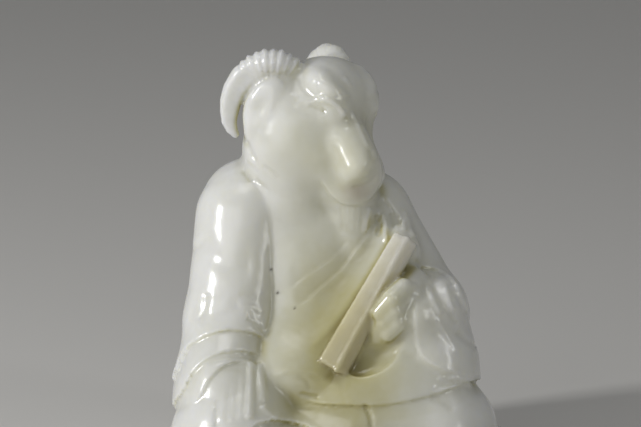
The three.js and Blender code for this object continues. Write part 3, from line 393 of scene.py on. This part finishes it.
# The right hand lies on the knee, with its fingers pointing down over it.
HAND_SLOPE = [[1, 0, 0], normal([0, -0.6, -0.8]), normal([0, -0.8, 0.6])]
right_palm = ellipsoid([-12.2, -9.7, 14.9], [5.8, 7.6, 3.6], HAND_SLOPE)
right_fingers = [limb([
    [-13.7 + 1.0 * n, -9.4, 20.4, FINGER_RADIUS],
    [-13.8 + 1.02 * n, -12.1, 17.2, FINGER_RADIUS],
    [-14.0 + 1.05 * n, -14.2, 14.3 + 0.2 * n, FINGER_RADIUS],
]) for n in range(4)]
right_thumb = limb([
    [-9.7, -9.0, 19.8, FINGER_RADIUS * 1.3], [-9.4, -11.0, 17.8, FINGER_RADIUS * 1.3],
    [-9.2, -12.0, 16.4, FINGER_RADIUS * 1.1],
])

# Where the layers of the right sleeve end, from the outer one to the cuff.
outer_sleeve = drawn([-24, 8], [-20.6, 16.2], [-19.9, 17.8], [-18.8, 20.2], [-17.9, 21.0],
    [-16.6, 21.8], [-14.2, 22.6], [-12.8, 22.7], [-11.2, 22.5], [-10.1, 22.2], [-9.2, 21.7],
    [-8.3, 20.6], [-7.4, 18.0], [-6.6, 14])
inner_sleeve = drawn([-24, 7], [-20.3, 13.3], [-19.6, 14.3], [-19.1, 15.0], [-18.2, 16.8],
    [-17.2, 18.2], [-16.1, 19.1], [-14.9, 19.7], [-13.5, 20.0], [-12.0, 20.1], [-10.8, 20.0],
    [-9.8, 19.6], [-8.7, 18.6], [-7.8, 16.4], [-7, 12])
cuff = drawn([-19.6, 4], [-18.7, 9.5], [-18.2, 12.4], [-17.6, 13.8], [-16.6, 15.0], [-15.6, 16.7],
    [-14.4, 18.0], [-12.9, 18.8], [-11.4, 18.8], [-10.1, 18.4], [-9.1, 17.7], [-8.3, 16.0], [-7.8, 12])
sleeve_hem = drawn([4, 22.5], [7.5, 20.9], [9.9, 20.2], [11.1, 19.0], [13.0, 17.9], [14.9, 17.2],
    [17.4, 16.6], [21, 16.0])
apron_hem = drawn([-12, 18], [-8.1, 16.5], [-7.2, 16.0], [-6.4, 15.4], [-5.4, 14.9], [-4.4, 14.3],
    [-3.4, 13.9], [-2.0, 13.5], [0.5, 13.4], [5.5, 13.4], [9.2, 14.0], [13.0, 15.0], [18, 17])

# The hollow under the left hand, between the tablet, the sleeve and the belly.
hand_hollow = ellipsoid(seen(5.2, 20.0, -10.1), [4.6, 2.3, 1.9],
                        [normal([0.85, 0, 0.53]), normal([-0.53, 0, 0.85]), [0, 1, 0]])


def below(line, p, q):
    """What lies below a line of the drawing, for the front of the figure only."""
    return np.maximum(line(q)[0], p[:, 1] - 2.5)


front_lines = carving([
    # The neck and the collar.
    groove(0.2, 0.25, [-11.2, 46.4], [-10.6, 45.1], [-9.8, 43.8]),
    groove(0.13, 0.22, [-10.9, 45.0], [-10.2, 44.2], [-9.6, 43.2]),
    groove(0.13, 0.22, [-11.4, 43.8], [-10.5, 43.2], [-9.6, 42.6]),
    groove(0.16, 0.22, [-11.8, 42.7], [-11.1, 42.0], [-10.5, 41.2]),
    groove(0.12, 0.22, [-9.2, 43.2], [-8.1, 42.5], [-7.0, 41.5]),
    groove(0.12, 0.22, [-10.2, 41.5], [-9.2, 40.8], [-8.2, 40.0]),
    overlap(0.15, 0.7, [7.1, 38.3], [4.5, 35.0], [2.9, 33.0], [1.0, 30.4], [-0.2, 29.2], [-2.0, 27.7],
        [-3.5, 26.3], [-4.9, 25.5]),
    overlap(0.1, 0.6, [2.0, 34.2], [0.9, 32.7], [-0.4, 31.5], [-2.0, 30.4], [-3.5, 29.4], [-5.6, 27.5]),
    # The chin over the beard, the strands of the beard and the bunched cloth beside it.
    overlap(0.2, 0.8, [-2.0, 42.0], [-0.5, 39.6], [1.1, 38.5], [3.0, 38.5], [4.5, 39.5], [5.5, 41.4]),
    groove(0.1, 0.15, [0.6, 38.4], [0.7, 36.9], [1.1, 34.9]),
    groove(0.1, 0.15, [1.2, 38.5], [1.2, 37.0], [1.5, 34.6]),
    groove(0.1, 0.15, [1.8, 38.5], [1.8, 36.8], [1.9, 34.4]),
    groove(0.1, 0.15, [2.5, 38.5], [2.5, 36.8], [2.4, 34.4]),
    groove(0.1, 0.15, [3.2, 38.3], [3.1, 36.9], [2.9, 34.8]),
    ridge(0.25, 0.3, [4.4, 38.2], [4.0, 36.9], [3.8, 35.9], [3.6, 34.7]),
    ridge(0.22, 0.3, [5.9, 37.4], [6.2, 35.9], [6.1, 34.9], [6.4, 33.6]),
    groove(0.2, 0.3, [5.0, 37.2], [5.4, 35.7], [5.2, 34.2]),
    groove(0.2, 0.3, [6.9, 37.4], [7.2, 35.9], [6.9, 34.4]),
    ridge(0.25, 0.3, [8.9, 37.6], [8.6, 36.2], [8.5, 35.0]),
    ridge(0.25, 0.35, [9.0, 37.0], [9.4, 35.4], [9.9, 34.2]),
    overlap(0.3, 0.8, [6.1, 39.5], [7.0, 38.3], [8.0, 37.0], [8.5, 35.7]),
    # Creases inside the right elbow.
    groove(0.08, 0.35, [-12.2, 27.0], [-11.0, 27.0], [-10.0, 26.6]),
    groove(0.08, 0.35, [-11.3, 26.0], [-10.2, 25.5], [-9.4, 24.7]),
    groove(0.09, 0.35, [-11.3, 25.0], [-10.2, 24.5], [-9.0, 23.6]),
    groove(0.2, 0.35, [-11.2, 24.3], [-10.0, 23.6], [-8.9, 22.2]),
    groove(0.15, 0.5, [-16.2, 27.5], [-16.4, 25.2], [-17.2, 23.4]),
    # Slack in the right sleeve, across the upper arm and above the elbow.
    groove(0.3, 1.5, [-17.6, 34.0], [-15.6, 32.0], [-13.2, 30.9], [-10.2, 30.6]),
    groove(0.2, 1.2, [-18.6, 24.6], [-16.4, 24.4], [-14.0, 24.9], [-11.6, 25.8]),
    groove(0.15, 0.25, [-16.1, 18.2], [-15.0, 18.9], [-13.5, 19.2], [-12.0, 19.3], [-10.6, 19.0],
        [-9.4, 18.4]),
    # The cloth over the left elbow, and the folds that fall from it.
    overlap(0.28, 0.9, [8.6, 29.3], [9.4, 30.2], [10.4, 30.6], [11.6, 30.6], [12.8, 30.3],
        [13.9, 29.7], [14.8, 28.8], [15.6, 27.6]),
    overlap(0.18, 0.6, [9.8, 28.6], [9.9, 26.6], [9.95, 24.0], [10.05, 21.6], [10.7, 19.8],
        [12.0, 18.6], [13.8, 17.8], [15.4, 17.4]),
    ridge(0.2, 0.3, [10.6, 28.9], [10.4, 28.1], [10.2, 27.1]),
    ridge(0.2, 0.35, [11.3, 28.5], [11.8, 27.3], [12.3, 26.0], [13.1, 24.5]),
    groove(0.15, 0.35, [12.1, 28.9], [12.6, 27.4], [13.4, 25.9], [14.2, 24.7], [15.2, 23.3]),
    ridge(0.25, 0.35, [13.6, 28.4], [13.9, 27.2], [14.2, 26.2], [14.8, 24.9]),
    groove(0.15, 0.35, [13.9, 28.8], [14.6, 27.5], [15.5, 26.2], [16.2, 24.7], [17.4, 22.6]),
    ridge(0.1, 0.3, [12.6, 24.4], [13.3, 22.9], [14.2, 21.5], [15.4, 19.9]),
    ridge(0.2, 0.35, [14.8, 28.7], [15.5, 27.5], [16.1, 26.2], [16.6, 24.7]),
    groove(0.2, 0.4, [14.9, 22.6], [16.1, 21.4], [17.8, 20.4]),
    groove(0.12, 0.3, [13.0, 17.0], [14.9, 17.0], [15.9, 16.8], [18.4, 16.5]),
    ridge(0.12, 0.22, [12.4, 16.6], [13.8, 16.9], [15.2, 16.8], [17.0, 16.5]),
    groove(0.12, 0.25, [12.0, 15.6], [13.6, 15.9], [15.5, 16.1], [17.6, 15.8]),
    ridge(0.14, 0.22, [12.6, 15.3], [14.0, 15.6], [15.6, 15.9], [17.0, 15.8]),
    # The sash, its knot and the cloth over the crossed legs.
    overlap(0.12, 0.6, [-7.4, 17.2], [-5.8, 17.7], [-4.9, 17.8], [-3.9, 17.7], [-2.9, 17.4],
        [-1.4, 17.0]),
    groove(0.15, 0.25, [-5.0, 17.0], [-4.1, 16.8], [-3.5, 16.2], [-3.2, 15.3]),
    groove(0.15, 0.25, [-4.5, 14.9], [-3.5, 14.6], [-2.0, 14.4]),
    ridge(0.25, 0.4, [-9.2, 13.6], [-8.4, 12.7], [-6.9, 11.9]),
    groove(0.25, 0.3, [3.2, 13.6], [4.1, 12.3], [4.4, 10.5], [4.2, 8.0], [3.4, 5.0]),
    groove(0.15, 0.5, [11.5, 14.4], [13.0, 13.9], [14.8, 12.7]),
    overlap(0.5, 1.2, [-12.2, 6.5], [-11.6, 8.8], [-10.9, 10.2], [-10.0, 11.3], [-9.0, 11.6],
        [-7.9, 11.8], [-5.8, 11.5], [-3.4, 10.9], [-0.6, 9.4], [2.2, 6.6]),
])

# The back is plainer: the edges of the arms, a sash and long folds below it. Across and up from behind.
back_lines = carving([
    groove(0.35, 0.7, [-10.2, 35], [-9.6, 30], [-9.4, 25], [-10.2, 20]),
    groove(0.35, 0.7, [6.4, 34], [7.0, 29], [7.6, 24], [9.2, 19]),
    overlap(0.35, 1.0, [-10.4, 17.4], [-6, 18.3], [-1, 18.6], [4, 18.3], [9.6, 17.2]),
    groove(0.2, 0.3, [-10.6, 15.9], [-6, 16.8], [-1, 17.1], [4, 16.8], [9.8, 15.7]),
    *[groove(0.3, 0.6, [x, 15.2], [x * 1.1, 9], [x * 1.35, 2.4]) for x in (-9, -5.2, -1, 3.2, 7)],
    overlap(0.3, 0.8, [-9.4, 41.6], [-6.4, 40.2], [-3, 39.6], [0.4, 40.2], [3.4, 41.6]),
])


def drawing(p):
    """Where points fall in the front drawing."""
    return np.stack([p[:, 0], p[:, 2] * math.cos(TILT) + p[:, 1] * math.sin(TILT)], axis=1)


def figure(p):
    q = drawing(p)
    y, z = p[:, 1], p[:, 2]
    torso = blend(3.0, chest(p), belly(p), waist(p), shoulders(p), breast(p))
    knees = blend(3.0, thighs(p), right_knee(p), left_knee(p), seat(p), skirt(p))
    knees = blend(1.5, knees, lap_rise(p))
    right_arm = blend(2.0, right_upper_arm(p), right_forearm(p), right_drape(p))
    left_arm = blend(2.0, left_forearm(p), left_elbow(p), left_drape(p))
    apron = meet(0.25, knees - APRON_STEP, -below(apron_hem, p, q))
    d = blend(0.2, blend(1.6, torso, knees), apron)
    d = blend(0.25, d,
              meet(0.25, right_arm, -below(outer_sleeve, p, q)),
              meet(0.25, right_arm + SLEEVE_STEP, -below(inner_sleeve, p, q)),
              meet(0.25, right_arm + 2 * SLEEVE_STEP, -below(cuff, p, q)),
              right_arm + 3 * SLEEVE_STEP)
    d = blend(0.9, d, left_upper_arm(p))
    d = blend(1.6, d, meet(0.4, left_arm, -below(sleeve_hem, p, q)))
    d = blend(0.8, d, neck(p), nape(p))
    d = blend(1.6, d, throat(p))
    d = cut(0.2, d, hand_hollow(p))
    d = blend(1.5, d, beard(p))
    d = blend(1.2, d, right_palm(p))
    d = blend(0.3, d, right_thumb(p), *[finger(p) for finger in right_fingers])
    d = blend(0.4, d, shoe(p))
    high = z > 34
    d[high] = blend(1.2, d[high], head(p[high]))
    front = 1 - ramp(y, 0.5, 3.0)
    d = d + front * front_lines(q) + ramp(y, 3.0, 5.0) * back_lines(p[:, ::2])
    d = blend(0.9, d, fist(p), wrist(p))
    d = blend(0.35, d, *[finger(p) for finger in grip])
    return blend(0.25, d, tablet(p))


# Small dark grains in the stone, in the drawing: across, up and how wide.
GRAINS = ((-8.1, 30.2, 0.16), (-7.3, 27.3, 0.2), (-5.2, 25.4, 0.12))


def shade_stone(mesh, p, outward):
    """How warm and olive the stone is, more towards the middle of the body and of the face, with painted
    shade that darkens hollows and creases towards olive; its grains; and the pinkish places of the tablet
    and the mouth."""
    x, y, z = p.T
    reach_out = 2.2
    openness = figure(p + reach_out * outward) / reach_out
    body = np.exp(-((x - 0.5) / 10.5) ** 2 - ((z - 21) / 16) ** 2)
    face = 0.35 * np.exp(-((x + 0.5) / 7.5) ** 2 - ((z - 47) / 8) ** 2)
    # Painted shade: where the carving closes over a place, in hollows and creases, the colour is made
    # darker and more olive.
    tone_and_hollow_shade = 0.7 * body + face + 0.5 * ramp(1 - openness, 0.1, 1.0)
    across, up = drawing(p).T
    front = y < 0
    speck = front * sum(np.exp(-((across - s) ** 2 + (up - v) ** 2) / width ** 2) for s, v, width in GRAINS)
    mouth = front * np.exp(-((across - 2.5) / 1.6) ** 2 - ((up - 39.9) / 1.0) ** 2)
    blush = 0.3 * (tablet(p) < 0.05) + 0.5 * mouth
    for name, values in (("tone_and_hollow_shade", tone_and_hollow_shade), ("speck", speck), ("blush", blush)):
        shades = mesh.attributes.new(name, "FLOAT", "POINT").data
        shades.foreach_set("value", np.clip(values, 0, 1).astype(np.float32))


def carve_skin(mesh):
    """Moves a fine copy of the solid onto the carving, along the carving's slope, and evens it out."""
    count = len(mesh.vertices)
    p = np.empty(count * 3)
    mesh.vertices.foreach_get("co", p)
    p = p.reshape(-1, 3)
    links = np.empty(len(mesh.edges) * 2, int)
    mesh.edges.foreach_get("vertices", links)
    a, b = links.reshape(-1, 2).T
    a, b = np.concatenate([a, b]), np.concatenate([b, a])
    valence = np.bincount(a, minlength=count)

    def form(p):
        return meet(0.15, figure(p), -p[:, 2])

    probe = 0.02
    farthest_move = 0.4
    for step in range(5):
        d = form(p)
        slope = np.stack([(form(p + probe * axis) - d) / probe for axis in np.eye(3)], axis=1)
        steep = np.maximum((slope ** 2).sum(axis=1), 0.25)
        p = p - np.clip(d / steep, -farthest_move, farthest_move)[:, None] * slope
        if step < 3:
            sums = [np.bincount(a, weights=p[b, n], minlength=count) for n in range(3)]
            shift = np.stack(sums, axis=1) / valence[:, None] - p
            facing = slope / np.sqrt(steep)[:, None]
            p = p + 0.5 * (shift - (shift * facing).sum(axis=1)[:, None] * facing)
    # The sawn underside is flat.
    p[:, 2] = np.where(p[:, 2] < 0.03, 0, p[:, 2])
    mesh.vertices.foreach_set("co", p.ravel())
    mesh.update()
    outward = np.empty(count * 3)
    mesh.vertices.foreach_get("normal", outward)
    shade_stone(mesh, p, outward.reshape(-1, 3))


def make_figure():
    """A fine skin of even squares in place of the solid's facets."""
    shape = bmesh.new()
    shape.from_mesh(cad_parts["ram_figure"].data)
    bmesh.ops.remove_doubles(shape, verts=shape.verts, dist=0.002 * MM)
    bmesh.ops.scale(shape, verts=shape.verts, vec=(1 / MM, 1 / MM, 1 / MM))
    mesh = bpy.data.meshes.new("carved_ram")
    shape.to_mesh(mesh)
    shape.free()
    piece = bpy.data.objects.new("carved_ram", mesh)
    bpy.context.scene.collection.objects.link(piece)
    remesh = piece.modifiers.new("even skin", "REMESH")
    remesh.mode = "VOXEL"
    remesh.voxel_size = SKIN_PITCH
    fine = bpy.data.meshes.new_from_object(piece.evaluated_get(bpy.context.evaluated_depsgraph_get()))
    piece.modifiers.clear()
    piece.data = fine
    carve_skin(fine)
    fine.transform(((MM, 0, 0, 0), (0, MM, 0, 0), (0, 0, MM, 0), (0, 0, 0, 1)))
    fine.shade_smooth()
    return piece


figure_piece = make_figure()


def linear(hex_colour):
    """An sRGB hex colour as the linear red, green, blue and alpha that a shader takes."""
    parts = [int(hex_colour[i:i + 2], 16) / 255 for i in (1, 3, 5)]
    return [n / 12.92 if n <= 0.04045 else ((n + 0.055) / 1.055) ** 2.4 for n in parts] + [1]


def add(tree, kind, links=(), **settings):
    """Adds a node with its settings, and links its inputs: (input, node, output) each."""
    node = tree.nodes.new(kind)
    for name, value in settings.items():
        if hasattr(node, name):
            setattr(node, name, value)
        else:
            node.inputs[name.replace("_", " ")].default_value = value
    for target, source, output in links:
        tree.links.new(source.outputs[output], node.inputs[target])
    return node


def white_jade():
    """Polished nephrite: milky and a little translucent, cool white on what stands out and away from the
    middle, olive towards the middle of the body and face, and with painted shade that darkens the hollows
    to a deeper olive."""
    material = bpy.data.materials.new("white_jade_polished")
    material.use_nodes = True
    tree = material.node_tree
    tree.nodes.clear()
    place = add(tree, "ShaderNodeTexCoord")
    # Clouds in the stone, some 6 mm across, and finer mottling of about 1 mm.
    clouds = add(tree, "ShaderNodeTexNoise", [("Vector", place, "Object")],
                 Scale=0.17 / MM, Detail=3, Roughness=0.6)
    # The stone's own warmth towards its middle, together with painted shade in hollows and creases.
    tone_and_hollow_shade = add(tree, "ShaderNodeAttribute", attribute_name="tone_and_hollow_shade")
    drift = add(tree, "ShaderNodeMath", [(0, clouds, "Fac")], operation="MULTIPLY_ADD")
    drift.inputs[1].default_value = 0.3
    drift.inputs[2].default_value = -0.15
    # The clouds are added to the tone, which carries painted shade in the hollows.
    tone_and_shade_level = add(tree, "ShaderNodeMath", [(0, tone_and_hollow_shade, "Fac"), (1, drift, "Value")], operation="ADD")
    stone_and_shade_colour = add(tree, "ShaderNodeValToRGB", [("Fac", tone_and_shade_level, "Value")])
    stops = stone_and_shade_colour.color_ramp.elements
    stops[0].position, stops[0].color = 0.0, linear("#E2E2DF")
    stops[1].position, stops[1].color = 1.0, linear("#8F8550")
    for position, colour in ((0.35, "#D3D2C2"), (0.65, "#BDB78A")):
        stops.new(position).color = linear(colour)
    blush = add(tree, "ShaderNodeAttribute", attribute_name="blush")
    flushed = add(tree, "ShaderNodeMix", [("Factor", blush, "Fac"), (6, stone_and_shade_colour, "Color")],
                  data_type="RGBA")
    flushed.inputs[7].default_value = linear("#B4A899")
    specks = add(tree, "ShaderNodeAttribute", attribute_name="speck")
    flecked = add(tree, "ShaderNodeMix", [("Factor", specks, "Fac"), (6, flushed, 2)],
                  data_type="RGBA")
    flecked.inputs[7].default_value = linear("#4A4230")
    # The polish is by hand: broad faint swells that make the highlights waver.
    swells = add(tree, "ShaderNodeTexNoise", [("Vector", place, "Object")],
                 Scale=0.25 / MM, Detail=2, Roughness=0.5)
    polish = add(tree, "ShaderNodeBump", [("Height", swells, "Fac")], Strength=0.5, Distance=0.4 * MM)
    skin = add(tree, "ShaderNodeBsdfPrincipled",
               [("Base Color", flecked, 2), ("Normal", polish, "Normal")])
    skin.inputs["Roughness"].default_value = 0.21
    skin.inputs["IOR"].default_value = 1.61
    skin.inputs["Subsurface Weight"].default_value = 0.85
    skin.inputs["Subsurface Radius"].default_value = (1.0, 0.97, 0.8)
    skin.inputs["Subsurface Scale"].default_value = 4 * MM
    add(tree, "ShaderNodeOutputMaterial", [("Surface", skin, "BSDF")])
    return material


figure_piece.data.materials.clear()
figure_piece.data.materials.append(white_jade())
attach(figure_piece, "root")
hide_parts("ram_figure")


def make_floor():
    """A pale floor that rises behind into a backdrop."""
    half_width = 1.2
    profile = ((-1.0, 0), (0.5, 0), (0.9, 0.1), (1.1, 0.5), (1.1, 1.6))
    shape = bmesh.new()
    edge = [shape.verts.new((-half_width, y, z)) for y, z in profile]
    rims = [shape.edges.new(pair) for pair in zip(edge, edge[1:])]
    swept = bmesh.ops.extrude_edge_only(shape, edges=rims)["geom"]
    far_side = [v for v in swept if isinstance(v, bmesh.types.BMVert)]
    bmesh.ops.translate(shape, verts=far_side, vec=(2 * half_width, 0, 0))
    bmesh.ops.recalc_face_normals(shape, faces=shape.faces)
    mesh = bpy.data.meshes.new("studio_floor")
    shape.to_mesh(mesh)
    shape.free()
    floor = bpy.data.objects.new("studio_floor", mesh)
    bpy.context.scene.collection.objects.link(floor)
    smooth = floor.modifiers.new("soft corner", "SUBSURF")
    smooth.levels = smooth.render_levels = 4
    mesh.shade_smooth()
    material = bpy.data.materials.new("pale_paper")
    material.use_nodes = True
    paper = material.node_tree.nodes["Principled BSDF"]
    paper.inputs["Base Color"].default_value = linear("#DCDAD6")
    paper.inputs["Roughness"].default_value = 0.8
    mesh.materials.append(material)
    return floor


make_floor()


def lamp(name, place, width, height, power):
    """A soft rectangular lamp that faces the middle of the figure."""
    data = bpy.data.lights.new(name, "AREA")
    data.shape = "RECTANGLE"
    data.size, data.size_y = width, height
    data.energy = power
    light = bpy.data.objects.new(name, data)
    bpy.context.scene.collection.objects.link(light)
    light.location = place
    light.rotation_mode = "QUATERNION"
    light.rotation_quaternion = (Vector(place) - Vector((0, 0, 0.03))).to_track_quat("Z", "Y")


lamp("left_softbox", (-0.42, -0.20, 0.20), 0.06, 0.09, 1.3)
lamp("left_fill", (-0.24, -0.34, 0.12), 0.3, 0.3, 0.3)
lamp("right_softbox", (0.34, -0.26, 0.16), 0.06, 0.2, 0.19)
lamp("top_softbox", (-0.05, -0.1, 0.5), 0.2, 0.2, 0.3)
world = bpy.data.worlds.new("studio")
bpy.context.scene.world = world
world.use_nodes = True
world.node_tree.nodes["Background"].inputs["Color"].default_value = linear("#B8BABC")
world.node_tree.nodes["Background"].inputs["Strength"].default_value = 0.27

bpy.context.scene.view_settings.view_transform = "Standard"

# The camera looks from the front, a little from above, and frames the figure as the photograph does.
PHOTO_WIDTH, PHOTO_HEIGHT = 641, 427
PIXELS_PER_MM = 8
MIDDLE_COLUMN, GROUND_ROW = 336, 511.3
LENS, SENSOR = 250, 36
lens = bpy.data.cameras.new("camera")
lens.lens, lens.sensor_width = LENS, SENSOR
lens.clip_end = 10
camera = bpy.data.objects.new("camera", lens)
bpy.context.scene.collection.objects.link(camera)
bpy.context.scene.camera = camera
view_up = Vector((0, math.sin(TILT), math.cos(TILT)))
view_back = Vector((0, -math.cos(TILT), math.sin(TILT)))
across = Vector((1, 0, 0)) * (PHOTO_WIDTH / 2 - MIDDLE_COLUMN)
up = view_up * (GROUND_ROW - PHOTO_HEIGHT / 2)
target = (across + up) / PIXELS_PER_MM
distance = PHOTO_WIDTH / PIXELS_PER_MM * LENS / SENSOR + 10
camera.location = (target + view_back * distance) * MM
camera.rotation_euler = (math.pi / 2 - TILT, 0, 0)
